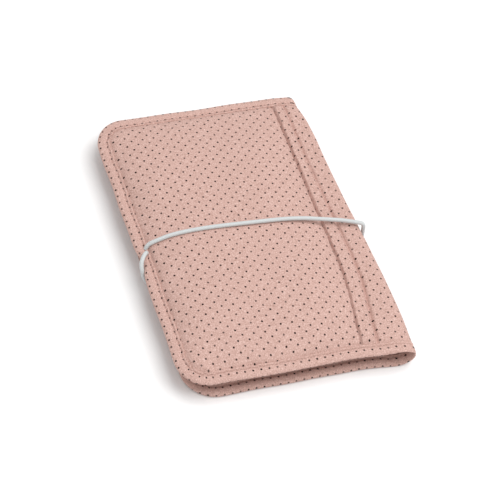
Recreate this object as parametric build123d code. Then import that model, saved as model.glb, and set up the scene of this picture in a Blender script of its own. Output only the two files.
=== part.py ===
"""Folding baby changing pad: two bound, padded covers, a padded spine and an elastic loop.

Frame: X from the fore edge (-) to the spine (+), Y along the fold (+ is the head end),
Z up. The origin is the middle of the pad's footprint on the surface it lies on.
Each layer of cloth, wadding and binding is a solid of its own.
"""
from build123d import *
from math import atan2, degrees
import os

# ---- driving dimensions, millimetres ----
LENGTH = 350.0             # along the fold
WIDTH = 250.0              # folded, fore edge to the outside of the spine
COVER_THICKNESS = 21.3     # one padded cover at its crown
COVER_GAP = 0.6            # air between the two closed covers
SPINE_THICKNESS = 20.5     # the spine is as thick as a cover, and rounded along both sides
COVER_TO_SPINE = 0.5       # air between a cover's end and the spine
BACK_SETBACK = 8.0         # the lower cover's fore edge lies this far inside the upper one's
CORNER_RADIUS = 34.0       # rounded corners at the fore edge
INNERMOST_RADIUS = 4.0     # an inset outline's corners are never tighter than this

CLOTH = 0.6                # printed cotton, with its backing
MEMBRANE = 0.4             # waterproof film under the lining
BINDING_WIDTH = 12.7       # bias binding, folded over the edge
BINDING_HEIGHT = 6.0       # outside height of the bound edge
BINDING_CLOTH = 1.0        # two layers of cloth on each side of the edge
FIT = 0.2                  # air between the binding and the layers that it holds
PANEL_FIT = 0.3            # air between the binding's inner edge and the panel
THREAD = 0.6               # sewing thread, as a square line
BINDING_SEAM_INSET = 1.5   # from the binding's inner edge to its line of thread

SIDE_SLOPE_DEG = 50.0      # the padding's sides lean in by this much from the vertical
SEAM_FROM_END = 24.0       # quilting seam beside the spine, from the cover's end
SEAM_WIDTH = 2.0
SEAM_DEPTH = 7.0
SEAM_THREAD_SHORT = 24.0   # the quilting thread stops this far inside the panel's ends

ELASTIC_DIAMETER = 4.4     # round elastic
ELASTIC_CLEARANCE = 0.5    # around the elastic, in the channel of the lower cover
SLOT_EXTRA = 0.5           # the channel's open slot is wider than the elastic by this much
SLOT_SHORT = 14.0          # and shorter than the elastic's run under the pad, both ends together
OVER_COVER = 0.5           # air between the elastic and the upper cover's crown
OVER_BINDING = 2.0         # air between the elastic and the bound fore edge
BESIDE_SPINE = 0.3         # air between the elastic and the spine
BESIDE_EDGE = 0.8          # air between the elastic and the upper cover's fore edge
ABOVE_REST = 0.3           # air between the elastic and the surface that the pad lies on

TACK_LENGTH = 4.2          # bar tack that holds both ends of the elastic
TACK_WIDTH = 12.0
TACK_HEIGHT = 7.0
TACK_INSET = 8.6           # its middle, from the fore edge
TACK_Y = -0.75

OUTGOING_Y = 2.0           # the elastic leaves the bar tack here to go over the upper cover
RETURNING_Y = -3.5         # and comes back here, after its way round the pad
SPINE_TOP_Y = -19.0        # it crosses to the spine at a slant, and goes down behind it
SPINE_BOTTOM_Y = -20.0
EDGE_BOTTOM_Y = -29.0      # and comes up again in front of the fore edges
EDGE_MIDDLE_Y = -26.0
CLIMB_START = 4.7          # level run over the binding, from the tack's middle
CLIMB_END = 26.5           # the climb on to the crown ends here, from the fore edge
CLIMB_END_Y = 1.5
RETURN_FORE = 2.9          # in front of the lower cover's fore edge
RETURN_DROP = 1.4          # under the upper cover's base, where the elastic bends round it

# ---- derived places ----
FORE_X = -WIDTH / 2
SPINE_OUT_X = WIDTH / 2
SPINE_IN_X = SPINE_OUT_X - SPINE_THICKNESS
COVER_END_X = SPINE_IN_X - COVER_TO_SPINE
FRONT_BASE_Z = COVER_THICKNESS + COVER_GAP
TOTAL_HEIGHT = FRONT_BASE_Z + COVER_THICKNESS
SEAM_X = COVER_END_X - SEAM_FROM_END
HALF_LENGTH = LENGTH / 2
EDGE_INSET = BINDING_CLOTH + FIT
LAYER_BASE = BINDING_CLOTH
FLANGE_TOP = BINDING_HEIGHT - BINDING_CLOTH
PANEL_INSET = BINDING_WIDTH + PANEL_FIT
BEYOND = 80.0              # cutting solids run this far past the cover's end
MATCH = 0.01               # two coordinates closer than this are the same


def cover_plan(fore_x, inset, end_x=COVER_END_X):
    """Plan of a cover: round corners at the fore edge, square ones at end_x."""
    left = fore_x + inset
    half = HALF_LENGTH - inset
    radius = max(CORNER_RADIUS - inset, INNERMOST_RADIUS)
    outline = Polyline((left, -half), (end_x, -half), (end_x, half), (left, half), (left, -half))
    face = make_face(outline)
    fore_corners = [v for v in face.vertices() if abs(v.X - left) < MATCH]
    return fillet(fore_corners, radius)


def slab(plan, low, high):
    """A plan, extruded between two heights."""
    return extrude(Pos(0, 0, low) * plan, amount=high - low)


def puff(fore_x, inset, low, high, groove_widening):
    """The padding's outline: sloping sides, a flat crown and a groove at the quilting seam."""
    plan = cover_plan(fore_x, inset, COVER_END_X + BEYOND)
    body = extrude(Pos(0, 0, low) * plan, amount=high - low, taper=SIDE_SLOPE_DEG)
    body -= Pos(COVER_END_X + BEYOND / 2, 0, high / 2) * Box(BEYOND, 2 * LENGTH, 4 * TOTAL_HEIGHT)
    groove = Box(SEAM_WIDTH + 2 * groove_widening, 2 * LENGTH, 2 * SEAM_DEPTH)
    return body - Pos(SEAM_X, 0, high) * groove


def flat_sheet(fore_x, base, depth, thickness):
    """A sheet of the flat side, `depth` above its outside, with its rim inside the binding."""
    low = base + depth
    rim_low = low + LAYER_BASE
    inset = PANEL_INSET + depth
    panel = slab(cover_plan(fore_x, inset), low, low + thickness)
    step = slab(cover_plan(fore_x, inset), low, rim_low + thickness)
    step -= slab(cover_plan(fore_x, inset + thickness), low, rim_low + thickness)
    rim = slab(cover_plan(fore_x, EDGE_INSET), rim_low, rim_low + thickness)
    rim -= slab(cover_plan(fore_x, inset), rim_low, rim_low + thickness)
    return panel + step + rim


def dome(fore_x, base, depth):
    """The padded side's outline, `depth` under its outside."""
    low = base + FLANGE_TOP - depth
    return puff(fore_x, PANEL_INSET + depth, low, base + COVER_THICKNESS - depth, depth)


def puffed_sheet(fore_x, base, depth, thickness):
    """A sheet of the padded side, `depth` under its outside, with its rim inside the binding."""
    rim_top = base + FLANGE_TOP - depth
    rim = slab(cover_plan(fore_x, EDGE_INSET), rim_top - thickness, rim_top)
    return rim + dome(fore_x, base, depth) - dome(fore_x, base, depth + thickness)


def wadding(fore_x, base, flat_depth, dome_depth):
    """The filling: a domed block, pressed thin where the binding holds it."""
    rim_top = base + FLANGE_TOP - dome_depth
    block = slab(cover_plan(fore_x, PANEL_INSET + flat_depth), base + flat_depth, rim_top)
    rim = slab(cover_plan(fore_x, EDGE_INSET), base + LAYER_BASE + flat_depth, rim_top)
    return dome(fore_x, base, dome_depth) + block + rim


def binding(fore_x, base):
    """Bias binding: a band folded over the edge, open along its inner side."""
    band = slab(cover_plan(fore_x, 0), base, base + BINDING_HEIGHT)
    band -= slab(cover_plan(fore_x, BINDING_WIDTH), base, base + BINDING_HEIGHT)
    return band - slab(cover_plan(fore_x, BINDING_CLOTH), base + LAYER_BASE, base + FLANGE_TOP)


def binding_thread(fore_x, base):
    """The line of thread that closes the binding, along its inner edge."""
    inset = BINDING_WIDTH - BINDING_SEAM_INSET
    low = base + BINDING_HEIGHT
    line = slab(cover_plan(fore_x, inset), low, low + THREAD)
    return line - slab(cover_plan(fore_x, inset + THREAD), low, low + THREAD)


def seam_thread(base):
    """The line of thread in the quilting groove beside the spine."""
    low = base + COVER_THICKNESS - SEAM_DEPTH
    half = HALF_LENGTH - PANEL_INSET - SEAM_THREAD_SHORT
    return Pos(SEAM_X, 0, low + THREAD / 2) * Box(THREAD, 2 * half, THREAD)


def stadium(inset, low_y, high_y):
    """The spine's section, a tall slab with round ends, run along Y between two places."""
    width = SPINE_THICKNESS - 2 * inset
    height = TOTAL_HEIGHT - 2 * inset
    middle_x = (SPINE_IN_X + SPINE_OUT_X) / 2
    section = Plane.XZ * SlotOverall(height, width, rotation=90)
    body = extrude(section, amount=(high_y - low_y) / 2, both=True)
    return Pos(middle_x, (low_y + high_y) / 2, TOTAL_HEIGHT / 2) * body


def spine_pieces():
    """The spine between the covers: cloth outside, lining and film inside, wadding between."""
    middle_x = (SPINE_IN_X + SPINE_OUT_X) / 2
    inner_half = Box(BEYOND, 2 * LENGTH, 2 * BEYOND)
    inner_half = Pos(middle_x - BEYOND / 2, 0, TOTAL_HEIGHT / 2) * inner_half
    bound = HALF_LENGTH - BINDING_WIDTH
    outside = stadium(0, -bound, bound)
    under_cloth = stadium(CLOTH, -bound, bound)
    under_film = stadium(CLOTH + MEMBRANE, -bound, bound)
    core_end = HALF_LENGTH - EDGE_INSET
    ends = stadium(BINDING_CLOTH + EDGE_INSET, -core_end, core_end)
    film = (under_cloth - under_film) & inner_half
    skins = {
        "spine_outer_fabric": (outside - under_cloth) - inner_half,
        "spine_lining": (outside - under_cloth) & inner_half,
        "spine_waterproof_film": film,
        "spine_wadding": (under_cloth - film) + ends,
    }
    for name, near, far in (("foot", -HALF_LENGTH, -bound), ("head", bound, HALF_LENGTH)):
        cap = stadium(0, near, far)
        inside_near = max(near, -core_end)
        inside_far = min(far, core_end)
        filling = stadium(BINDING_CLOTH + EDGE_INSET, inside_near, inside_far)
        skins["spine_binding_" + name] = cap - filling
    return skins


# ---- the elastic's route, from the bar tack over the top, round the spine and back ----
ELASTIC_RADIUS = ELASTIC_DIAMETER / 2
TOP_Z = TOTAL_HEIGHT + ELASTIC_RADIUS + OVER_COVER
BOTTOM_Z = ELASTIC_RADIUS + ABOVE_REST
ROUND_SPINE_X = SPINE_OUT_X + ELASTIC_RADIUS + BESIDE_SPINE
ROUND_FORE_X = FORE_X - ELASTIC_RADIUS - BESIDE_EDGE
BACK_FORE_X = FORE_X + BACK_SETBACK
TACK_Z = FRONT_BASE_Z + BINDING_HEIGHT + ELASTIC_RADIUS + OVER_BINDING
TACK_X = FORE_X + TACK_INSET
ROUTE = [
    (TACK_X + TACK_LENGTH / 2, OUTGOING_Y, TACK_Z),
    (TACK_X + CLIMB_START, OUTGOING_Y, TACK_Z),
    (FORE_X + CLIMB_END, CLIMB_END_Y, TOP_Z),
    (ROUND_SPINE_X, SPINE_TOP_Y, TOP_Z),
    (ROUND_SPINE_X, SPINE_BOTTOM_Y, BOTTOM_Z),
    (BACK_FORE_X - RETURN_FORE, EDGE_BOTTOM_Y, BOTTOM_Z),
    (ROUND_FORE_X - FIT, EDGE_MIDDLE_Y, FRONT_BASE_Z - RETURN_DROP),
    (ROUND_FORE_X, RETURNING_Y, TACK_Z),
    (TACK_X - TACK_LENGTH / 2, RETURNING_Y, TACK_Z),
]
# bend radius at each of the route's inner points
BENDS = [2.4, 25.0, 12.5, 12.5, 5.5, 8.0, 5.5]


def elastic_tube(diameter):
    """A round tube along the elastic's route: straight runs joined by tangent arcs."""
    path = FilletPolyline(*ROUTE, radius=BENDS)
    start = Plane(origin=path @ 0, z_dir=path % 0)
    return sweep(start * Circle(diameter / 2), path=path), path.length


def elastic_channel():
    """What the lower cover and the spine give up to let the elastic pass under them."""
    tube, _ = elastic_tube(ELASTIC_DIAMETER + 2 * ELASTIC_CLEARANCE)
    start, end = Vector(*ROUTE[4]), Vector(*ROUTE[5])
    run = end - start
    slot_length = run.length - SLOT_SHORT
    heading = degrees(atan2(run.Y, run.X))
    middle = (start + end) * 0.5
    slot = Box(slot_length, ELASTIC_DIAMETER + SLOT_EXTRA, 2 * BOTTOM_Z)
    return tube + Pos(middle.X, middle.Y, 0) * Rot(0, 0, heading) * slot


def bar_tack():
    """The block of stitches that holds both ends of the elastic on the bound edge."""
    low = FRONT_BASE_Z + BINDING_HEIGHT
    return Pos(TACK_X, TACK_Y, low + TACK_HEIGHT / 2) * Box(TACK_LENGTH, TACK_WIDTH, TACK_HEIGHT)


def cover_pieces(side, fore_x, base, flat_side, padded_side):
    """All layers of one cover: the flat side is down, the padded side is up."""
    film_is_flat = flat_side == "lining"
    flat_depth = CLOTH + MEMBRANE if film_is_flat else CLOTH
    dome_depth = CLOTH if film_is_flat else CLOTH + MEMBRANE
    if film_is_flat:
        film = flat_sheet(fore_x, base, CLOTH, MEMBRANE)
    else:
        film = puffed_sheet(fore_x, base, CLOTH, MEMBRANE)
    return {
        side + "_" + flat_side: flat_sheet(fore_x, base, 0, CLOTH),
        side + "_" + padded_side: puffed_sheet(fore_x, base, 0, CLOTH),
        side + "_waterproof_film": film,
        side + "_wadding": wadding(fore_x, base, flat_depth, dome_depth),
        side + "_binding": binding(fore_x, base),
        side + "_binding_thread": binding_thread(fore_x, base),
        side + "_quilting_thread": seam_thread(base),
    }


def all_pieces():
    """Every node of the pad by name."""
    front = cover_pieces("front", FORE_X, FRONT_BASE_Z, "lining", "outer_fabric")
    lower = cover_pieces("back", BACK_FORE_X, 0, "outer_fabric", "lining")
    lower.update(spine_pieces())
    channel = elastic_channel()
    lower = {name: shape - channel for name, shape in lower.items()}
    tube, _ = elastic_tube(ELASTIC_DIAMETER)
    return {**front, **lower, "elastic_cord": tube, "elastic_bar_tack": bar_tack()}


def main():
    """Write one STEP file for each node, and print the elastic's radii and volume."""
    os.makedirs("parts", exist_ok=True)
    for name, shape in all_pieces().items():
        export_step(shape, "parts/" + name + ".step")
    tube, length = elastic_tube(ELASTIC_DIAMETER)
    section = Circle(ELASTIC_DIAMETER / 2).area
    print("elastic bend radii, mm:", BENDS)
    print(f"elastic length {length:.1f} mm, volume {tube.volume:.0f} mm3")
    print(f"section x length {section * length:.0f} mm3")


main()
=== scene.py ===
import bmesh
import bpy
import math
import numpy as np
from mathutils import Matrix, Vector


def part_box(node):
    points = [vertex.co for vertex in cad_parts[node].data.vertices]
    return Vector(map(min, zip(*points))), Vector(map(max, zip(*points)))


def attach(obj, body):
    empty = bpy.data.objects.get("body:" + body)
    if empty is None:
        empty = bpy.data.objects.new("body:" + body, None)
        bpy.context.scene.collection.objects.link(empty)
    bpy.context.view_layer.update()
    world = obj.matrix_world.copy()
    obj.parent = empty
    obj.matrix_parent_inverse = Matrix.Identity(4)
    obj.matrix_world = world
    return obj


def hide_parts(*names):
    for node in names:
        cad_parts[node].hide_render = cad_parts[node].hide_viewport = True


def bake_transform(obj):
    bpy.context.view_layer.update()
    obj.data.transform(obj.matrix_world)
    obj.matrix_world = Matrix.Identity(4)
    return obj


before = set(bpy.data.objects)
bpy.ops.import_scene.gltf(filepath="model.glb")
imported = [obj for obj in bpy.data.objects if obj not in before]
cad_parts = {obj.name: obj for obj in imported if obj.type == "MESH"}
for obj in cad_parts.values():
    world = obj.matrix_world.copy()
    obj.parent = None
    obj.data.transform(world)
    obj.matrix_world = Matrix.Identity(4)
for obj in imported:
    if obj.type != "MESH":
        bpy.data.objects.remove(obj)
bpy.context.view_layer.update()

MM = 0.001

# ---- places read from the frame, in metres ----
FRONT_LOW, FRONT_HIGH = (np.array(c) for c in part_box("front_binding"))
BACK_LOW, BACK_HIGH = (np.array(c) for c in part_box("back_binding"))
CROWN_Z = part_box("front_outer_fabric")[1][2]
TACK_LOW, TACK_HIGH = (np.array(c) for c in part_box("elastic_bar_tack"))
HALF_LENGTH = FRONT_HIGH[1]
SPINE_OUT_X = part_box("spine_outer_fabric")[1][0]

# ---- driving sizes of the cloth, in metres ----
CORNER_RADIUS = 34 * MM        # rounded corners at the fore edge
BINDING_WIDTH = 12.7 * MM
BINDING_HEIGHT = 6.0 * MM      # outside height of the bound edge
RIM_HEIGHT = 5.1 * MM          # the padded side starts this far over the bottom of its binding
COVER_GAP = 1.2 * MM           # air between the lower cover's crown and the upper cover
UNDERSIDE_Z = 0.3 * MM         # the lower cover's flat side, over the floor
CLOTH = 0.6 * MM               # thickness of the outer cloth and the lining
TUCK_UNDER = 0.9 * MM          # the panel's cloth goes this far under the binding's lip
FOLD_START_X = 100 * MM        # here the cloth begins to roll over the spine
FOLD_MIDDLE_Z = 15 * MM        # height of the fold's outermost line
QUILTING_X = 77.8 * MM         # quilting seam beside the spine
QUILTING_BOW = 12.5 * MM       # the seam leans away from the spine at the foot end
STRIP_WIDTH = 12 * MM          # padded strip between the quilting seam and the roll
STRIP_WIDENING = 5.5 * MM      # it widens towards the foot end
DOT_CELL = 12 * MM             # diagonal of the printed dots' square lattice
DOT_SPACING = DOT_CELL / math.sqrt(2)
DOT_RADIUS = 1.08 * MM
PRINT_SKEW = math.radians(2.1)  # the print lies a little off the pad's edges
TUCK_TAKE_UP = 3 * MM          # cloth that the quilting seam takes up, so the dots jump there
BIAS_CREEP = 3.9 * MM          # how far the binding's dots creep across it round the foot corner
YARN_PITCH = 0.9 * MM
ELASTIC_DIAMETER = 4.4 * MM
RESTING_Z = 0.5 * MM           # the lower binding and its line of stitches go no lower than this


def sines(seed, count, shortest, longest):
    """Directions, wave numbers and phases for a smooth random field."""
    rng = np.random.default_rng(seed)
    angle = rng.uniform(0, 2 * math.pi, count)
    k = 2 * math.pi / rng.uniform(shortest, longest, count)
    return np.cos(angle) * k, np.sin(angle) * k, rng.uniform(0, 2 * math.pi, count)


def rumple(x, y, seed, shortest, longest, count=9):
    """A smooth random field, mostly between -1 and 1, with wavelengths in the given range."""
    kx, ky, phase = sines(seed, count, shortest, longest)
    waves = np.sin(x[..., None] * kx + y[..., None] * ky + phase)
    return waves.sum(-1) / math.sqrt(count)


def bell(x, width):
    """1 at zero, falling smoothly to 0.37 at width."""
    return np.exp(-(x / width) ** 2)


def smooth(x, start, end):
    """A smooth step from 0 at start to 1 at end."""
    t = np.clip((x - start) / (end - start), 0, 1)
    return t * t * (3 - 2 * t)


# ---------------------------------------------------------------- camera and light

VIEW_AZIMUTH = -0.50528        # radians
VIEW_ELEVATION = 0.89615
VIEW_ROLL = 0.2410
VIEW_DISTANCE = 178.8 * DOT_CELL
VIEW_TARGET = (-9.4 * MM, -27.0 * MM, 32.0 * MM)
LENS = 149.9                   # focal length and sensor width in the camera's own millimetres
SENSOR_WIDTH = 36
FLOOR_HALF_SIDE = 6.0
FLOOR_COLOUR = (0.92, 0.92, 0.92, 1)
WORLD_STRENGTH = 0.62


def add_camera():
    """The product view: from the fore edge's foot corner, looking down over the pad."""
    azimuth, elevation, roll = VIEW_AZIMUTH, VIEW_ELEVATION, VIEW_ROLL
    target = Vector(VIEW_TARGET)
    toward = Vector((math.sin(azimuth) * math.cos(elevation),
                     -math.cos(azimuth) * math.cos(elevation),
                     math.sin(elevation)))
    forward = -toward
    right = forward.cross(Vector((0, 0, 1))).normalized()
    up = right.cross(forward)
    local_x = math.cos(roll) * right + math.sin(roll) * up
    local_y = -math.sin(roll) * right + math.cos(roll) * up
    data = bpy.data.cameras.new("camera")
    data.lens = LENS
    data.sensor_width = SENSOR_WIDTH
    data.clip_end = 20
    camera = bpy.data.objects.new("camera", data)
    rotation = Matrix((local_x, local_y, toward)).transposed().to_4x4()
    camera.matrix_world = Matrix.Translation(target + toward * VIEW_DISTANCE) @ rotation
    bpy.context.scene.collection.objects.link(camera)
    bpy.context.scene.camera = camera


def add_area_light(name, place, size, power):
    """A square light in metres and watts, aimed at the middle of the pad's footprint."""
    data = bpy.data.lights.new(name, "AREA")
    data.size = size
    data.energy = power
    light = bpy.data.objects.new(name, data)
    light.location = place
    direction = Vector((0, 0, 0)) - Vector(place)
    light.rotation_euler = direction.to_track_quat("-Z", "Y").to_euler()
    bpy.context.scene.collection.objects.link(light)


def add_stage():
    """Pale floor, a large soft key light overhead, and a weak fill from the fore edge."""
    mesh = bpy.data.meshes.new("floor")
    side = FLOOR_HALF_SIDE
    mesh.from_pydata([(-side, -side, 0), (side, -side, 0), (side, side, 0), (-side, side, 0)],
                     [], [(0, 1, 2, 3)])
    floor = bpy.data.objects.new("floor", mesh)
    material = bpy.data.materials.new("floor_paper")
    material.use_nodes = True
    shader = material.node_tree.nodes["Principled BSDF"]
    shader.inputs["Base Color"].default_value = FLOOR_COLOUR
    shader.inputs["Roughness"].default_value = 0.9
    mesh.materials.append(material)
    bpy.context.scene.collection.objects.link(floor)
    world = bpy.data.worlds.new("studio")
    world.use_nodes = True
    world.node_tree.nodes["Background"].inputs["Color"].default_value = (1, 1, 1, 1)
    world.node_tree.nodes["Background"].inputs["Strength"].default_value = WORLD_STRENGTH
    bpy.context.scene.world = world
    add_area_light("key", place=(0.9, -0.2, 2.8), size=2.6, power=70)
    add_area_light("fill", place=(-1.2, -1.4, 2.0), size=1.6, power=6)
    bpy.context.scene.view_settings.view_transform = "Standard"


# ---------------------------------------------------------------- the elastic's route

# Control points of the elastic's centre line, in metres: the way of the CAD tube, with the points
# moved by less than 10 mm, mostly down to the cloth, which is lower than the CAD solid.
ELASTIC_ROUTE = [
    (-0.1140, -0.0010, 0.0275),
    (-0.1125, 0.0004, 0.0325),
    (-0.1030, 0.0006, 0.0368),
    (-0.0860, 0.0010, 0.0430),
    (-0.0520, 0.0006, 0.0455),
    (-0.0040, -0.0022, 0.0456),
    (0.0450, -0.0050, 0.0450),
    (0.0820, -0.0090, 0.0380),
    (0.0980, -0.0125, 0.0368),
    (0.1120, -0.0180, 0.0368),
    (0.1196, -0.0203, 0.0356),
    (0.1205, -0.0210, 0.0220),
    (0.1215, -0.0210, 0.0080),
    (0.1180, -0.0205, 0.0025),
    (0.1050, -0.0205, 0.0025),
    (-0.0940, -0.0290, 0.0025),
    (-0.1150, -0.0290, 0.0035),
    (-0.1215, -0.0295, 0.0140),
    (-0.1245, -0.0260, 0.0240),
    (-0.1242, -0.0190, 0.0298),
    (-0.1195, -0.0120, 0.0318),
    (-0.1155, -0.0080, 0.0312),
    (-0.1142, -0.0060, 0.0275),
]


def elastic_curve(name, radius):
    """A smooth curve with the route's points as its control points."""
    curve = bpy.data.curves.new(name, "CURVE")
    curve.dimensions = "3D"
    spline = curve.splines.new("NURBS")
    spline.points.add(len(ELASTIC_ROUTE) - 1)
    for point, place in zip(spline.points, ELASTIC_ROUTE):
        point.co = (*place, 1)
    spline.order_u = 3
    spline.use_endpoint_u = True
    spline.resolution_u = 16
    curve.bevel_depth = radius
    curve.bevel_resolution = 6
    curve.use_fill_caps = True
    return curve


def route_line():
    """Points on the elastic's centre line."""
    curve = elastic_curve("route", 0)
    holder = bpy.data.objects.new("route", curve)
    mesh = bpy.data.meshes.new_from_object(holder)
    points = np.array([v.co for v in mesh.vertices])
    bpy.data.objects.remove(holder)
    return points


# ---------------------------------------------------------------- shape of the covers

class Cover:
    """One padded cover: its edges, the height of its padded side and of its flat side."""

    def __init__(self, name, fore_x, dome_rim_z, dome_crown_z, flat_z, dome_is_outside):
        self.name = name
        self.fore_x = fore_x
        self.dome_rim_z = dome_rim_z
        self.dome_crown_z = dome_crown_z
        self.flat_z = flat_z
        self.dome_is_outside = dome_is_outside

    def seam_distance(self, x, y):
        """How far a point is inside the binding's seam line."""
        radius = CORNER_RADIUS - BINDING_WIDTH
        qx = self.fore_x + CORNER_RADIUS - x
        qy = np.abs(y) - (HALF_LENGTH - CORNER_RADIUS)
        outside = np.hypot(np.maximum(qx, 0), np.maximum(qy, 0))
        return radius - outside - np.minimum(np.maximum(qx, qy), 0)

    def left_edge(self, y, inset):
        """Where the outline, drawn in by inset, meets the line at y."""
        radius = CORNER_RADIUS - inset
        past = np.clip(np.abs(y) - (HALF_LENGTH - CORNER_RADIUS), 0, radius)
        return self.fore_x + CORNER_RADIUS - np.sqrt(radius ** 2 - past ** 2)


def fold_out_x(y):
    """Where the fold's outermost line lies: the fold is fuller at the foot end."""
    lies_in, slack_along, slack_at_head = 0.9 * MM, 10.5 * MM, 5 * MM
    slack = slack_along * smooth(y, -130 * MM, 100 * MM) + slack_at_head * smooth(y, 95 * MM, 180 * MM)
    return SPINE_OUT_X - lies_in - slack


def flattening(x):
    """The bound edge is pressed flatter where it goes round the fold."""
    most = 0.55
    return most * smooth(x, FOLD_START_X - 12 * MM, FOLD_START_X + 8 * MM)


def eased(points):
    """The sewn pad is not quite a rectangle: its ends draw in at the head and sag at the foot."""
    moved = np.array(points, float)
    x, y = moved[..., 0], moved[..., 1]
    sag, draw_in, draw_in_at_fold, from_y = 4 * MM, 1.8 * MM, 3 * MM, 60 * MM
    foot = sag * smooth(x, 55 * MM, 120 * MM) * smooth(-y, from_y, HALF_LENGTH)
    head = draw_in + draw_in_at_fold * smooth(x, 80 * MM, 112 * MM)
    moved[..., 1] = y - foot - head * smooth(y, from_y, HALF_LENGTH)
    return moved


FRONT = Cover("front", FRONT_LOW[0], FRONT_LOW[2] + RIM_HEIGHT, CROWN_Z, FRONT_LOW[2], True)
BACK = Cover("back", BACK_LOW[0], BACK_LOW[2] + RIM_HEIGHT, FRONT_LOW[2] - COVER_GAP, UNDERSIDE_Z, False)


def quilting_x(y):
    """The quilting seam bows towards the fore edge at the foot end."""
    return QUILTING_X - QUILTING_BOW * smooth(-y, 60 * MM, 185 * MM)


def valley_x(y):
    """The soft crease where the roll over the spine begins."""
    return quilting_x(y) + STRIP_WIDTH + STRIP_WIDENING * smooth(-y, -110 * MM, 110 * MM)


def dome_height(cover, x, y):
    """Height of a cover's padded side over the plan, up to where the spine's roll begins."""
    seam = quilting_x(y)
    inside = np.maximum(cover.seam_distance(x, y), 0)
    middle = (cover.fore_x + BINDING_WIDTH + QUILTING_X) / 2
    half = (QUILTING_X - cover.fore_x - BINDING_WIDTH) / 2
    u = np.clip((x - middle) / half, -1, 1)
    v = np.clip(y / (HALF_LENGTH - BINDING_WIDTH), -1, 1)
    shoulder, shoulder_reach, seam_sink, swell = 4 * MM, 4.5 * MM, 0.7 * MM, 0.5 * MM
    crown = cover.dome_crown_z - cover.dome_rim_z - shoulder
    to_seam = np.clip((seam - x) / (10 * MM), 0, 1)
    height = cover.dome_rim_z + shoulder * (1 - np.exp(-inside / shoulder_reach))
    height += crown * (1 - u ** 4) * (1 - np.abs(v) ** 4)
    height -= seam_sink * bell(to_seam, 0.4) * (x < seam)
    if cover.dome_is_outside:
        height += tuck_relief(x, y, seam)
    wave = rumple(x, y, 3 + cover.dome_is_outside, 45 * MM, 110 * MM)
    height += swell * wave * smooth(inside, 2 * MM, 25 * MM)
    return height + puckers(x, y, inside, seam)


def tuck_relief(x, y, seam):
    """The stitched tuck, the narrow padded strip beside it and the crease before the roll."""
    along = 1 - smooth(np.abs(y), HALF_LENGTH - 17 * MM, HALF_LENGTH - 11 * MM)
    groove_depth, ridge_height, strip_height, crease_depth = 2.0 * MM, 0.8 * MM, 1.9 * MM, 3.2 * MM
    wander = 0.35 * MM * rumple(0 * x, y, 15, 5 * MM, 12 * MM)
    groove = -groove_depth * bell(x - seam - wander, 0.75 * MM)
    ridge = ridge_height * bell(x - seam - 2.0 * MM, 1.3 * MM)
    valley = valley_x(y)
    middle, half = (seam + valley) / 2, (valley - seam) / 2
    share = np.clip(1 - ((x - middle) / half) ** 2, 0, 1)
    strip = strip_height * share ** 0.7
    crease = -crease_depth * bell(x - valley, 2.0 * MM) * (0.75 + 0.25 * smooth(-y, -60 * MM, 90 * MM))
    return (groove + ridge + strip + crease) * along


def puckers(x, y, inside, seam):
    """Small gathers across the seams, strongest right beside the stitching."""
    edge = rumple(x, y, 11, 9 * MM, 22 * MM, 12) * np.exp(-inside / (9 * MM))
    beside = np.abs(x - seam)
    tuck = rumple(0.15 * x, y, 12, 10 * MM, 26 * MM, 12) * np.exp(-beside / (7 * MM))
    fine = rumple(x, y, 14, 18 * MM, 40 * MM, 12)
    fade = smooth(inside, 0, 4 * MM)
    corner = bell(np.hypot(x + 100 * MM, np.abs(y) - HALF_LENGTH + 28 * MM), 34 * MM)
    turn = np.arctan2(np.abs(y) - HALF_LENGTH + 60 * MM, -x - 60 * MM)
    creases = np.sin(13 * turn + 2.2 * np.sin(5 * turn)) * corner * np.exp(-inside / (17 * MM))
    slow = rumple(x, y, 16, 28 * MM, 60 * MM) * np.exp(-inside / (22 * MM))
    edge_height, tuck_height, fine_height = 0.6 * MM, 0.4 * MM, 0.16 * MM
    crease_height, slow_height = 0.9 * MM, 0.5 * MM
    gathers = edge_height * edge + tuck_height * tuck + fine_height * fine
    return (gathers + crease_height * creases + slow_height * slow) * fade


ELASTIC_LINE = route_line()


def give_way(points, normals, depth=0.0):
    """The cloth gives way under the elastic: points near it move inwards along their normals."""
    sunk_radius = ELASTIC_DIAMETER * 0.46    # a little less than half, so that the two touch
    flat, n = points.reshape(-1, 3), normals.reshape(-1, 3)
    moved = flat.copy()
    near = np.abs(flat[:, 1] - np.interp(flat[:, 0], [-0.13, 0.13], [-0.005, -0.012])) < 45 * MM
    index = np.flatnonzero(near)
    offset = ELASTIC_LINE[None, :, :] - flat[index][:, None, :]
    height = (offset * n[index][:, None, :]).sum(-1)
    lateral = np.sqrt(np.maximum((offset ** 2).sum(-1) - height ** 2, 0))
    wanted = np.maximum(sunk_radius + depth - height, 0) * (np.abs(height) < 9 * MM)
    push = (wanted * bell(lateral, 4.2 * MM)).max(1)
    moved[index] -= n[index] * push[:, None]
    return moved.reshape(points.shape)


# ---------------------------------------------------------------- grids of cloth

def cover_rows(inset):
    """Y places of the grid's rows: close together round the corners, even between them."""
    straight = HALF_LENGTH - CORNER_RADIUS
    corner_rows, straight_rows = 15, 122
    turn = np.linspace(0, math.pi / 2, corner_rows)[1:]
    past = straight + (CORNER_RADIUS - inset) * np.sin(turn)
    return np.concatenate([-past[::-1], np.linspace(-straight, straight, straight_rows), past])


def cover_columns(cover, inset):
    """Shares of the way from the fore edge to the spine's roll, closer at the seams."""
    first = cover.fore_x + inset
    near_end, seams_start = first + 22 * MM, 62 * MM
    near = np.linspace(first, near_end, 19)
    middle = np.linspace(near_end, seams_start, 56)[1:]
    seams = np.linspace(seams_start, FOLD_START_X, 77)[1:]
    return (np.concatenate([near, middle, seams]) - first) / (FOLD_START_X - first)


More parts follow.
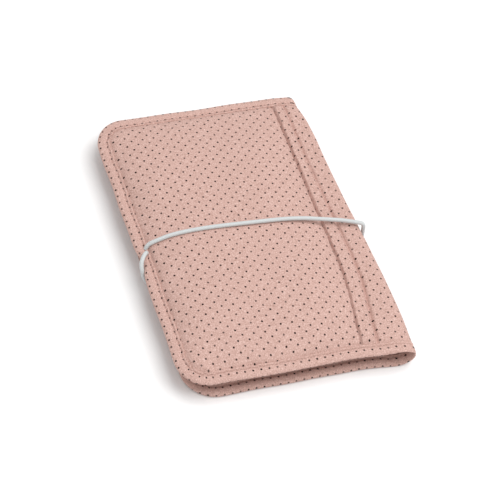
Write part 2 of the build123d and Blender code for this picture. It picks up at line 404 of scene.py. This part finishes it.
def cover_surface(cover, side, depth=0.0, inset=BINDING_WIDTH - TUCK_UNDER):
    """Grid of points on one side of a cover and on its half of the spine's roll.

    side is "outside" or "lining"; depth is how far the sheet lies under that side's face.
    """
    rows, shares = cover_rows(inset), cover_columns(cover, inset)
    y = rows[:, None] + 0 * shares[None, :]
    left = cover.left_edge(y, inset)
    x = left + shares[None, :] * (FOLD_START_X - left)
    is_dome = cover.dome_is_outside == (side == "outside")
    inward = -1 if is_dome else 1
    if is_dome:
        z = dome_height(cover, x, y)
    else:
        rim = cover.seam_distance(x, y)
        sag = 0.35 * MM * rumple(x, y, 21, 50 * MM, 120 * MM) * smooth(rim, 0, 20 * MM)
        z = cover.flat_z + 0.9 * MM * (1 - smooth(rim, -2 * MM, 5 * MM)) + np.maximum(sag, 0)
    z = z + inward * depth
    panel = np.stack([x, y, z], -1)
    turn = np.linspace(0, math.pi / 2, 18)[1:]
    reach = fold_out_x(rows)[:, None] - FOLD_START_X - (0 if side == "outside" else BINDING_HEIGHT)
    reach = reach + (-depth if side == "outside" else depth)
    start_z = z[:, -1:]
    fullness = 1 - smooth(np.abs(rows), HALF_LENGTH - 45 * MM, HALF_LENGTH - 12 * MM)
    swell = 2.4 * MM * fullness[:, None] * bell(turn[None, :] - 0.6, 0.42)
    swell = swell * (1 if cover.dome_is_outside and side == "outside" else 0)
    bulge = 1 - (0.26 if side == "outside" else 0) * fullness[:, None]
    roll_x = FOLD_START_X + reach * np.sin(turn)[None, :] ** bulge
    roll_z = FOLD_MIDDLE_Z + (start_z - FOLD_MIDDLE_Z) * np.cos(turn)[None, :] ** bulge + swell
    roll = np.stack([roll_x, rows[:, None] + 0 * roll_x, roll_z], -1)
    if side == "lining":
        away = 1 if cover is FRONT else -1
        near_end = smooth(np.abs(rows), HALF_LENGTH - 50 * MM, HALF_LENGTH - 13 * MM)[:, None]
        panel[..., 2] += away * BINDING_HEIGHT * flattening(x) * near_end
        lift = BINDING_HEIGHT * flattening(roll_x) * near_end
        roll[..., 0] += lift * np.sin(turn)[None, :]
        roll[..., 2] += away * lift * np.cos(turn)[None, :]
    grid = eased(np.concatenate([panel, roll], 1))
    if side == "outside":
        grid = give_way(grid, outward_normals(grid, side, cover), depth)
    return grid


def outward_normals(grid, side, cover):
    """Unit normals of a grid of points, away from the padding."""
    n = np.cross(np.gradient(grid, axis=1), np.gradient(grid, axis=0))
    n /= np.maximum(np.linalg.norm(n, axis=-1, keepdims=True), 1e-12)
    up = (cover is FRONT) == (side == "outside")
    middle = n[len(n) // 2, n.shape[1] // 3, 2]
    return n if (middle > 0) == up else -n


def cloth_coordinates(grid):
    """Where each point of a grid was on the flat cloth, before it was sewn."""
    across = grid[..., 0].copy()
    rolled = np.flatnonzero(grid[len(grid) // 2, :, 0] > FOLD_START_X)[0]
    step = np.linalg.norm(np.diff(grid[:, rolled - 1:], axis=1), axis=-1)
    across[:, rolled:] = across[:, rolled - 1:rolled] + step.cumsum(1)
    taken_up = TUCK_TAKE_UP * smooth(across - quilting_x(grid[..., 1]), -1 * MM, 1 * MM)
    return np.stack([across + taken_up, grid[..., 1]], -1)


def new_object(name, vertices, faces, cloth=None):
    """A mesh object with smooth faces, and its flat cloth coordinates as a UV map."""
    mesh = bpy.data.meshes.new(name)
    mesh.from_pydata([tuple(v) for v in vertices], [], [tuple(int(i) for i in f) for f in faces])
    if cloth is not None:
        layer = mesh.uv_layers.new(name="cloth")
        corners = np.zeros(len(mesh.loops), int)
        mesh.loops.foreach_get("vertex_index", corners)
        layer.data.foreach_set("uv", np.asarray(cloth)[corners].ravel().astype(np.float32))
    mesh.polygons.foreach_set("use_smooth", [True] * len(mesh.polygons))
    mesh.validate()
    obj = bpy.data.objects.new(name, mesh)
    bpy.context.scene.collection.objects.link(obj)
    return obj


def grid_faces(rows, columns, start=0, flip=False):
    faces = []
    for i in range(rows - 1):
        for j in range(columns - 1):
            a = start + i * columns + j
            quad = (a, a + 1, a + columns + 1, a + columns)
            faces.append(quad[::-1] if flip else quad)
    return faces


def shell(name, outer, inner, up):
    """A closed sheet or block between two grids of the same size."""
    rows, columns = outer.shape[:2]
    count = rows * columns
    faces = grid_faces(rows, columns, 0, not up) + grid_faces(rows, columns, count, up)
    rim = list(range(columns))
    rim += [i * columns + columns - 1 for i in range(1, rows)]
    rim += [(rows - 1) * columns + j for j in range(columns - 2, -1, -1)]
    rim += [i * columns for i in range(rows - 2, 0, -1)]
    for a, b in zip(rim, rim[1:] + rim[:1]):
        quad = (b, a, a + count, b + count)
        faces.append(quad[::-1] if not up else quad)
    vertices = np.concatenate([outer.reshape(-1, 3), inner.reshape(-1, 3)])
    cloth = cloth_coordinates(outer).reshape(-1, 2)
    return new_object(name, vertices, faces, np.concatenate([cloth, cloth]))


def bend_with_spine(obj):
    """Bake the piece's transform into its mesh."""
    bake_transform(obj)
    return obj


# ---------------------------------------------------------------- binding

# Half of the binding's section: (inset from the edge, height over the middle), in millimetres.
HALF_SECTION = [
    (13.3, 1.8), (13.2, 2.7), (12.7, 3.4), (12.0, 3.6), (11.2, 3.3), (10.6, 2.5), (10.1, 2.3),
    (9.6, 2.6), (8.6, 3.15), (7.0, 3.3), (5.0, 3.1), (3.2, 2.7), (1.8, 2.1), (0.7, 1.3), (0.2, 0.6),
]


def binding_section():
    """The closed section of a folded band, from the lip round the edge and back inside."""
    upper = np.array(HALF_SECTION) * MM
    lower = upper[::-1] * (1, -1)
    inner_upper = np.array([(2.2, 0.8), (4.0, 1.6), (12.4, 1.7)]) * MM
    inner_lower = inner_upper[::-1] * (1, -1)
    return np.concatenate([upper, lower, inner_lower, inner_upper])


def fold_stations(y, inner_z):
    """The part of the edge that goes round the fold, from its outermost line inwards."""
    reach = fold_out_x(y) - BINDING_HEIGHT - FOLD_START_X
    drop = inner_z - FOLD_MIDDLE_Z
    stations = []
    for phi in np.linspace(math.pi / 2, 0, 22)[:-1]:
        place = (FOLD_START_X + reach * math.sin(phi), y, FOLD_MIDDLE_Z + drop * math.cos(phi))
        out = np.array((math.sin(phi) / reach, 0, math.cos(phi) / drop))
        stations.append((place, (0, -np.sign(y), 0), out / np.linalg.norm(out)))
    return stations


def edge_stations(cover):
    """Places along a cover's edge on its lining side, the way in, and the way to its outside."""
    inner_z = FRONT_LOW[2] if cover is FRONT else BACK_HIGH[2]
    out_z = 1.0 if cover is FRONT else -1.0
    head = fold_stations(HALF_LENGTH, inner_z)
    foot = fold_stations(-HALF_LENGTH, inner_z)[::-1]
    stations = head[:]
    left, straight = cover.fore_x + CORNER_RADIUS, HALF_LENGTH - CORNER_RADIUS
    for x in np.linspace(FOLD_START_X, left, 78)[:-1]:
        stations.append(((x, HALF_LENGTH, inner_z), (0, -1, 0), (0, 0, out_z)))
    for turn in np.linspace(0, math.pi / 2, 28)[:-1]:
        way_in = np.array((math.sin(turn), -math.cos(turn), 0))
        place = np.array((left, straight, inner_z)) - CORNER_RADIUS * way_in
        stations.append((place, way_in, (0, 0, out_z)))
    for y in np.linspace(straight, 0, 58)[:-1]:
        stations.append(((cover.fore_x, y, inner_z), (1, 0, 0), (0, 0, out_z)))
    plain = stations[len(head):][::-1]
    mirror = [((p[0], -p[1], p[2]), (n[0], -n[1], n[2]), out) for p, n, out in plain]
    middle = [((cover.fore_x, 0, inner_z), (1, 0, 0), (0, 0, out_z))]
    return [np.array(column, float) for column in zip(*(stations + middle + mirror + foot))]


def edge_point(stations, along, inset, height):
    """Points over the edge: inset from it, and height over the middle of the bound edge."""
    place, way_in, out = stations
    inset, height = np.asarray(inset), np.asarray(height) + BINDING_HEIGHT / 2
    return eased(place[along] + way_in[along] * inset[..., None] + out[along] * height[..., None])


def edge_length(stations):
    step = np.linalg.norm(np.diff(stations[0], axis=0), axis=1)
    return np.concatenate([[0], step.cumsum()])


def corner_share(cover, places):
    """1 at a rounded corner, 0 away from it."""
    cut = 8 * MM    # a point near the rounded corner, this far inside the sharp one both ways
    radius = np.hypot(places[:, 0] - cover.fore_x - cut, np.abs(places[:, 1]) - HALF_LENGTH + cut)
    return bell(radius, 32 * MM)


def gathered(cover, stations, section):
    """Inset and height of every section point at every station, with gathers and a pinch."""
    length = edge_length(stations)[:, None]
    inset, height = section[None, :, 0] + 0 * length, section[None, :, 1] + 0 * length
    corner = corner_share(cover, stations[0])[:, None]
    seed = 31 if cover is FRONT else 37
    fine = rumple(length, 0 * length, seed, 4 * MM, 11 * MM, 14)
    slow = rumple(length, 0 * length, seed + 1, 40 * MM, 90 * MM)
    near_lip = smooth(inset, 3 * MM, 11 * MM)
    swell = 1 + (0.09 + 0.16 * corner) * fine * near_lip + 0.06 * slow
    swell = np.maximum(swell, 0.75)
    inset = inset + 0.4 * MM * slow + (0.3 + 0.35 * corner) * MM * fine * near_lip
    pinch = bell(stations[0][:, 1:2] + 17 * MM, 12 * MM) * (stations[1][:, 0:1] > 0.9)
    pinch_depth = 4.2 * MM    # the elastic draws the upper cover's fore edge in
    inset = inset + pinch_depth * pinch * (1 - smooth(inset, 0, 12 * MM)) * (cover is FRONT)
    height = height * swell
    flat = flattening(stations[0][:, 0:1])
    return inset, height * (1 - flat) + BINDING_HEIGHT / 2 * flat


def clear_of_elastic(points):
    """Points inside the elastic are pushed out to its surface."""
    flat = points.reshape(-1, 3)
    near = np.flatnonzero(np.abs(flat[:, 1] + 10 * MM) < 30 * MM)
    offset = flat[near][:, None, :] - ELASTIC_LINE[None, :, :]
    distance = np.linalg.norm(offset, axis=-1)
    nearest = distance.argmin(1)
    chosen = np.arange(len(near))
    gap = distance[chosen, nearest]
    push = np.maximum(ELASTIC_DIAMETER * 0.47 - gap, 0) / np.maximum(gap, 1e-6)
    flat = flat.copy()
    flat[near] += offset[chosen, nearest] * push[:, None]
    return flat.reshape(points.shape)


def make_binding(cover):
    """The bias binding round a cover, on over its half of the spine's ends."""
    stations, section = edge_stations(cover), binding_section()
    inset, height = gathered(cover, stations, section)
    rows = np.arange(len(stations[0]))[:, None] + np.zeros(len(section), int)[None, :]
    points = clear_of_elastic(edge_point(stations, rows, inset, height))
    points[..., 2] = np.maximum(points[..., 2], RESTING_Z)
    count, width = points.shape[:2]
    faces = []
    for i in range(count - 1):
        for j in range(width):
            k = (j + 1) % width
            faces.append((i * width + j, i * width + k, (i + 1) * width + k, (i + 1) * width + j))
    faces.append(tuple(range(width))[::-1])
    faces.append(tuple((count - 1) * width + j for j in range(width)))
    step = np.linalg.norm(np.diff(section, axis=0), axis=1)
    round_it = np.concatenate([[0], step.cumsum()])
    length = edge_length(stations)
    drift = BIAS_CREEP * corner_drift(stations[0])
    cloth = np.stack([length[:, None] + 0 * round_it[None, :], round_it[None, :] + drift[:, None]], -1)
    obj = new_object(cover.name + "_binding_band", points.reshape(-1, 3), faces, cloth.reshape(-1, 2))
    recalculate_normals(obj)
    return bend_with_spine(obj)


def corner_drift(places):
    """0 at the foot edge, 1 past the foot corner: the bias strip creeps as it is eased round it."""
    return smooth(places[:, 1], -HALF_LENGTH, -HALF_LENGTH + CORNER_RADIUS)


def recalculate_normals(obj):
    bm = bmesh.new()
    bm.from_mesh(obj.data)
    bmesh.ops.recalc_face_normals(bm, faces=bm.faces)
    bm.to_mesh(obj.data)
    bm.free()


# ---------------------------------------------------------------- stitches

STITCH_LENGTH = 2.7 * MM
STITCH_STEP = 3.4 * MM
STITCH_WIDTH = 0.5 * MM
STITCH_HEIGHT = 0.42 * MM
TACK_STITCHES = 15
TACK_STEP = 0.62 * MM
TACK_SLANT = 0.35              # radians


def stitch_mesh(name, centres, ways, ups):
    """One small pillow-shaped stitch at each centre."""
    template = [(-1, 0, 0.1), (-0.55, -0.8, 0.25), (-0.55, 0.8, 0.25), (-0.5, 0, 1.0),
                (0.5, 0, 1.0), (0.55, -0.8, 0.25), (0.55, 0.8, 0.25), (1, 0, 0.1)]
    triangles = [(0, 1, 3), (0, 3, 2), (1, 5, 4, 3), (2, 3, 4, 6), (7, 4, 5), (7, 6, 4),
                 (0, 2, 6, 7, 5, 1)]
    vertices, faces = [], []
    for centre, way, up in zip(centres, ways, ups):
        side = np.cross(up, way)
        base = len(vertices)
        for a, b, c in template:
            vertices.append(centre + way * a * STITCH_LENGTH / 2 + side * b * STITCH_WIDTH / 2
                            + up * c * STITCH_HEIGHT)
        faces += [tuple(base + k for k in f) for f in triangles]
    obj = new_object(name, vertices, faces)
    recalculate_normals(obj)
    return obj


def make_binding_stitches(cover):
    """Two rows of stitches along the binding's inner edge, one on each side of the cover."""
    stations = edge_stations(cover)
    length = edge_length(stations)
    marks = np.arange(STITCH_STEP, length[-1] - STITCH_STEP, STITCH_STEP)
    centres, ways, ups = [], [], []
    for sign in (1, -1):
        groove_inset, groove_height = 10.25 * MM, 2.68 * MM
        row = np.array([[groove_inset, sign * groove_height]])
        inset, height = gathered(cover, stations, row)
        line = edge_point(stations, np.arange(len(length))[:, None], inset, height)[:, 0]
        line[:, 2] = np.maximum(line[:, 2], RESTING_Z)
        for mark in marks:
            centre = np.array([np.interp(mark, length, line[:, k]) for k in range(3)])
            ahead = np.array([np.interp(mark + 1 * MM, length, line[:, k]) for k in range(3)])
            up = np.array([np.interp(mark, length, stations[2][:, k]) for k in range(3)])
            way = (ahead - centre) / np.linalg.norm(ahead - centre)
            up = sign * (up - way * (up @ way))
            centres.append(centre)
            ways.append(way)
            ups.append(up / np.linalg.norm(up))
    obj = stitch_mesh(cover.name + "_binding_stitches", centres, ways, ups)
    return bend_with_spine(obj)


def make_quilting_stitches(cover):
    """The row of stitches at the bottom of the quilting seam."""
    end = HALF_LENGTH - BINDING_WIDTH - 4 * MM
    y = np.arange(-end, end, STITCH_STEP)
    x = quilting_x(y)
    z = dome_height(cover, x, y) - 0.05 * MM
    centres = eased(np.stack([x, y, z], -1))
    ways = np.gradient(centres, axis=0)
    ways /= np.linalg.norm(ways, axis=1, keepdims=True)
    ups = np.cross(np.array((1.0, 0, 0)), ways)
    obj = stitch_mesh(cover.name + "_quilting_stitches", centres, ways, ups)
    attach(obj, cover.name + "_cover")
    return obj


# ---------------------------------------------------------------- covers

def make_cover_cloth(cover):
    """The outer fabric and the lining of one cover, each on over its half of the spine."""
    outer_up = cover is FRONT
    outer = shell(cover.name + "_outer_cloth", cover_surface(cover, "outside"),
                  cover_surface(cover, "outside", CLOTH), outer_up)
    lining = shell(cover.name + "_lining_cloth", cover_surface(cover, "lining"),
                   cover_surface(cover, "lining", CLOTH), not outer_up)
    return bend_with_spine(outer), bend_with_spine(lining)


def make_inner_layers(cover):
    """The wadding and the waterproof film between the cloths."""
    up = cover is FRONT
    film_depth, film_thickness = CLOTH + 0.2 * MM, 0.3 * MM
    film_inset = BINDING_WIDTH - TUCK_UNDER
    film = shell(cover.name + "_film", cover_surface(cover, "lining", film_depth, film_inset),
                 cover_surface(cover, "lining", film_depth + film_thickness, film_inset), not up)
    inset = BINDING_WIDTH + 1.5 * MM
    filling = shell(cover.name + "_filling", cover_surface(cover, "outside", 1.3 * MM, inset),
                    cover_surface(cover, "lining", film_depth + 0.6 * MM, inset), up)
    return bend_with_spine(film), bend_with_spine(filling)


def make_elastic():
    """The round elastic loop."""
    curve = elastic_curve("elastic_loop", ELASTIC_DIAMETER / 2)
    elastic = bpy.data.objects.new("elastic_loop", curve)
    bpy.context.scene.collection.objects.link(elastic)
    return elastic


def make_bar_tack():
    """A few close zigzag stitches where both ends of the elastic go into the seam."""
    middle = (TACK_LOW + TACK_HIGH) / 2
    x = FRONT_LOW[0] + BINDING_WIDTH
    z = FRONT_HIGH[2] + 0.2 * MM
    centres, ways, ups = [], [], []
    for k in range(TACK_STITCHES):
        y = middle[1] + (k - TACK_STITCHES // 2) * TACK_STEP
        slant = TACK_SLANT if k % 2 else -TACK_SLANT
        way = np.array((math.cos(slant), math.sin(slant), 0))
        centres.append(np.array((x - 1.6 * MM, y, z)))
        ways.append(way)
        ups.append(np.array((0, 0, 1.0)))
    obj = stitch_mesh("bar_tack_stitches", centres, ways, ups)
    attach(obj, "front_cover")
    return obj


# ---------------------------------------------------------------- materials

class Nodes:
    """Short calls for building a material's nodes."""

    def __init__(self, name):
        self.material = bpy.data.materials.new(name)
        self.material.use_nodes = True
        self.tree = self.material.node_tree
        self.shader = self.tree.nodes["Principled BSDF"]

    def node(self, kind, **settings):
        made = self.tree.nodes.new(kind)
        for key, value in settings.items():
            setattr(made, key, value)
        return made

    def link(self, source, target):
        if isinstance(source, (int, float, tuple)):
            target.default_value = source
        else:
            self.tree.links.new(source, target)

    def math(self, operation, a, b=0.0, clamp=False):
        made = self.node("ShaderNodeMath", operation=operation, use_clamp=clamp)
        self.link(a, made.inputs[0])
        self.link(b, made.inputs[1])
        return made.outputs[0]

    def noise(self, vector, scale, detail=3.0):
        made = self.node("ShaderNodeTexNoise")
        self.link(vector, made.inputs["Vector"])
        made.inputs["Scale"].default_value = scale
        made.inputs["Detail"].default_value = detail
        return made.outputs["Fac"]

    def ramp(self, value, low, high, at_low, at_high):
        made = self.node("ShaderNodeMapRange", interpolation_type="SMOOTHSTEP")
        self.link(value, made.inputs["Value"])
        for socket, number in (("From Min", low), ("From Max", high), ("To Min", at_low),
                               ("To Max", at_high)):
            made.inputs[socket].default_value = number
        return made.outputs[0]

    def mix(self, share, a, b):
        made = self.node("ShaderNodeMix", data_type="RGBA")
        self.link(share, made.inputs[0])
        self.link(a, made.inputs[6])
        self.link(b, made.inputs[7])
        return made.outputs[2]

    def bump(self, height, distance, strength=1.0):
        made = self.node("ShaderNodeBump")
        self.link(height, made.inputs["Height"])
        made.inputs["Distance"].default_value = distance
        made.inputs["Strength"].default_value = strength
        self.link(made.outputs[0], self.shader.inputs["Normal"])

    def finish(self, roughness, sheen=0.0, sheen_roughness=0.5, specular=0.3):
        self.shader.inputs["Roughness"].default_value = roughness
        self.shader.inputs["Sheen Weight"].default_value = sheen
        self.shader.inputs["Sheen Roughness"].default_value = sheen_roughness
        self.shader.inputs["Specular IOR Level"].default_value = specular
        return self.material


ROSE = (0.585, 0.378, 0.326, 1)
ROSE_DEEP = (0.510, 0.321, 0.274, 1)
ROSE_PALE = (0.750, 0.535, 0.480, 1)
ROSE_SHADE = (0.385, 0.230, 0.190, 1)
DOT_BROWN = (0.016, 0.006, 0.005, 1)
ELASTIC_PALE = (0.62, 0.645, 0.645, 1)
ELASTIC_SHADE = (0.50, 0.525, 0.525, 1)
WADDING_PALE = (0.9, 0.89, 0.86, 1)
WADDING_SHADE = (0.8, 0.79, 0.76, 1)
FILM_PALE = (0.86, 0.86, 0.85, 1)
FILM_SHADE = (0.8, 0.8, 0.79, 1)


def lattice_distance(nodes, across, along, turn, offsets):
    """Distance to the nearest printed dot, in shares of the spacing along the lattice."""
    half_cell, whole_cells = 0.5, 100    # whole cells keep the numbers of the rows above zero
    total = None
    for angle, offset in ((turn, offsets[0]), (turn + math.pi / 2, offsets[1])):
        a = nodes.math("MULTIPLY", across, math.cos(angle) / DOT_SPACING)
        b = nodes.math("MULTIPLY", along, math.sin(angle) / DOT_SPACING)
        row = nodes.math("ADD", nodes.math("ADD", a, b), offset + half_cell + whole_cells)
        off = nodes.math("SUBTRACT", nodes.math("FRACT", row), half_cell)
        square = nodes.math("MULTIPLY", off, off)
        total = square if total is None else nodes.math("ADD", total, square)
    return nodes.math("SQRT", total)


def printed_cotton(name, turn=None, offsets=(0, 0)):
    """Fine plain-weave cotton; turn is the dots' direction on the cloth, None for no print."""
    nodes = Nodes(name)
    cloth = nodes.node("ShaderNodeUVMap", uv_map="cloth").outputs[0]
    split = nodes.node("ShaderNodeSeparateXYZ")
    nodes.link(cloth, split.inputs[0])
    across, along = split.outputs[0], split.outputs[1]
    place = nodes.node("ShaderNodeTexCoord").outputs["Object"]
    blotch = nodes.noise(place, scale=35, detail=3)
    fibre = nodes.noise(place, scale=900, detail=4)
    slub = nodes.noise(place, scale=820, detail=1)
    colour = nodes.mix(nodes.math("MULTIPLY", blotch, 0.4), ROSE, ROSE_DEEP)
    pale = nodes.ramp(slub, low=0.50, high=0.72, at_low=0.0, at_high=0.8)
    colour = nodes.mix(pale, colour, ROSE_PALE)
    dark = nodes.ramp(slub, low=0.28, high=0.46, at_low=0.7, at_high=0.0)
    colour = nodes.mix(dark, colour, ROSE_SHADE)
    if turn is not None:
        distance = lattice_distance(nodes, across, along, turn, offsets)
        ragged = 0.035    # the dots' outline wanders by this share of their spacing
        uneven = nodes.math("MULTIPLY", nodes.noise(place, scale=500, detail=2), ragged)
        edge = DOT_RADIUS / DOT_SPACING
        low, high = edge * 0.92 + ragged / 2, edge * 1.1 + ragged / 2
        dot = nodes.ramp(nodes.math("ADD", distance, uneven), low, high, at_low=1.0, at_high=0.0)
        worn = nodes.noise(place, scale=130, detail=1)
        worn = nodes.ramp(worn, low=0.30, high=0.62, at_low=0.72, at_high=0.98)
        dot = nodes.math("MULTIPLY", dot, worn)
        colour = nodes.mix(dot, colour, DOT_BROWN)
    nodes.link(colour, nodes.shader.inputs["Base Color"])
    warp = nodes.math("SINE", nodes.math("MULTIPLY", across, 2 * math.pi / YARN_PITCH))
    weft = nodes.math("SINE", nodes.math("MULTIPLY", along, 2 * math.pi / YARN_PITCH))
    weave = nodes.math("MULTIPLY", warp, weft)
    rough = nodes.math("MULTIPLY", fibre, 1.2)
    nodes.bump(nodes.math("ADD", weave, rough), distance=0.12 * MM, strength=0.6)
    return nodes.finish(roughness=0.9, sheen=0.04, specular=0.12)


def elastic_material():
    """Smooth braided cover in a pale cool grey."""
    nodes = Nodes("elastic_braid")
    place = nodes.node("ShaderNodeTexCoord").outputs["Object"]
    fine = nodes.noise(place, scale=700, detail=3)
    colour = nodes.mix(nodes.math("MULTIPLY", fine, 0.3), ELASTIC_PALE, ELASTIC_SHADE)
    nodes.link(colour, nodes.shader.inputs["Base Color"])
    uv = nodes.node("ShaderNodeUVMap").outputs[0]
    wave = nodes.node("ShaderNodeTexWave", wave_type="BANDS", bands_direction="DIAGONAL")
    nodes.link(uv, wave.inputs["Vector"])
    wave.inputs["Scale"].default_value = 60
    nodes.bump(nodes.math("ADD", wave.outputs["Fac"], fine), distance=0.12 * MM, strength=0.5)
    return nodes.finish(roughness=0.42, sheen=0.2, specular=0.45)


def plain_material(name, colour, shade, roughness, scale, distance, sheen=0.1):
    """A fine-grained single-colour material: thread, wadding or film."""
    nodes = Nodes(name)
    place = nodes.node("ShaderNodeTexCoord").outputs["Object"]
    grain = nodes.noise(place, scale, detail=4)
    nodes.link(nodes.mix(grain, colour, shade), nodes.shader.inputs["Base Color"])
    nodes.bump(grain, distance, strength=0.6)
    return nodes.finish(roughness, sheen=sheen)


# ---------------------------------------------------------------- assembly

def dress(obj, material, slot, *replaced):
    """Give a piece its material and hide the CAD nodes that it stands for."""
    obj.data.materials.append(material)
    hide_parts(*replaced)


def stands_for(cover, part, *spine_parts):
    """The CAD nodes that a cover's piece stands for; the upper cover's stand for the spine's too."""
    return [cover.name + "_" + part] + ["spine_" + p for p in spine_parts if cover is FRONT]


def main():
    add_camera()
    add_stage()
    elastic = make_elastic()
    dress(elastic, elastic_material(), "elastic", "elastic_cord")
    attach(elastic, "elastic")

    print_turn = math.radians(-45) - PRINT_SKEW
    panel_print = printed_cotton("panel_cotton", turn=print_turn, offsets=(0.874, 0.086))
    binding_print = printed_cotton("binding_cotton", turn=0.0, offsets=(0.1, 0.964))
    lining_cotton = printed_cotton("lining_cotton")
    thread = plain_material("sewing_thread", ROSE, ROSE_DEEP,
                            roughness=0.7, scale=1500, distance=0.05 * MM)
    wadding = plain_material("wadding", WADDING_PALE, WADDING_SHADE,
                             roughness=0.95, scale=300, distance=0.5 * MM)
    film = plain_material("film", FILM_PALE, FILM_SHADE,
                          roughness=0.4, scale=60, distance=0.1 * MM, sheen=0)

    for cover in (FRONT, BACK):
        outer, lining = make_cover_cloth(cover)
        film_sheet, filling = make_inner_layers(cover)
        band = make_binding(cover)
        dress(outer, panel_print, "printed_cotton", *stands_for(cover, "outer_fabric", "outer_fabric"))
        dress(lining, lining_cotton, "lining_cotton", *stands_for(cover, "lining", "lining"))
        dress(film_sheet, film, "waterproof_film",
              *stands_for(cover, "waterproof_film", "waterproof_film"))
        dress(filling, wadding, "wadding", *stands_for(cover, "wadding", "wadding"))
        dress(band, binding_print, "printed_cotton",
              *stands_for(cover, "binding", "binding_head", "binding_foot"))
        dress(make_binding_stitches(cover), thread, "thread", *stands_for(cover, "binding_thread"))
        dress(make_quilting_stitches(cover), thread, "thread", *stands_for(cover, "quilting_thread"))
    dress(make_bar_tack(), thread, "thread", "elastic_bar_tack")


main()
